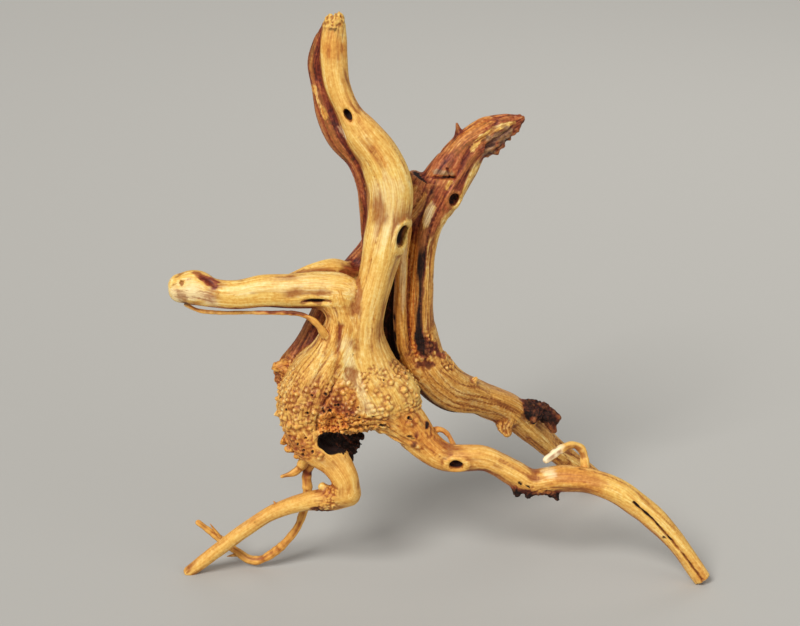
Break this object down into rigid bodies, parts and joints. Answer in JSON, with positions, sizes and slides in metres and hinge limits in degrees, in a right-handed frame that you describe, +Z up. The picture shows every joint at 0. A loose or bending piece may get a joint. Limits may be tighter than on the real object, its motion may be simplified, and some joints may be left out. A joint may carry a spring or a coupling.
{
  "type": "driftwood",
  "caption": "Gnarled piece of root driftwood standing on three splayed legs, with a warty swollen crown, a tall pale stem, a dark upright branch and a level side arm",
  "frame": {"origin": "on the surface it stands on, under the middle of its bounding box", "axes": "+X to the viewer's right as pictured, with the side arm pointing to -X; +Y away from the viewer; +Z up"},
  "size_m": [0.4653, 0.219, 0.496],
  "materials": {
    "wood": "smooth sanded root wood, pale sapwood with dark red-brown heartwood laid bare"
  },
  "bodies": {
    "root": {"driftwood": "wood"}
  },
  "joints": []
}
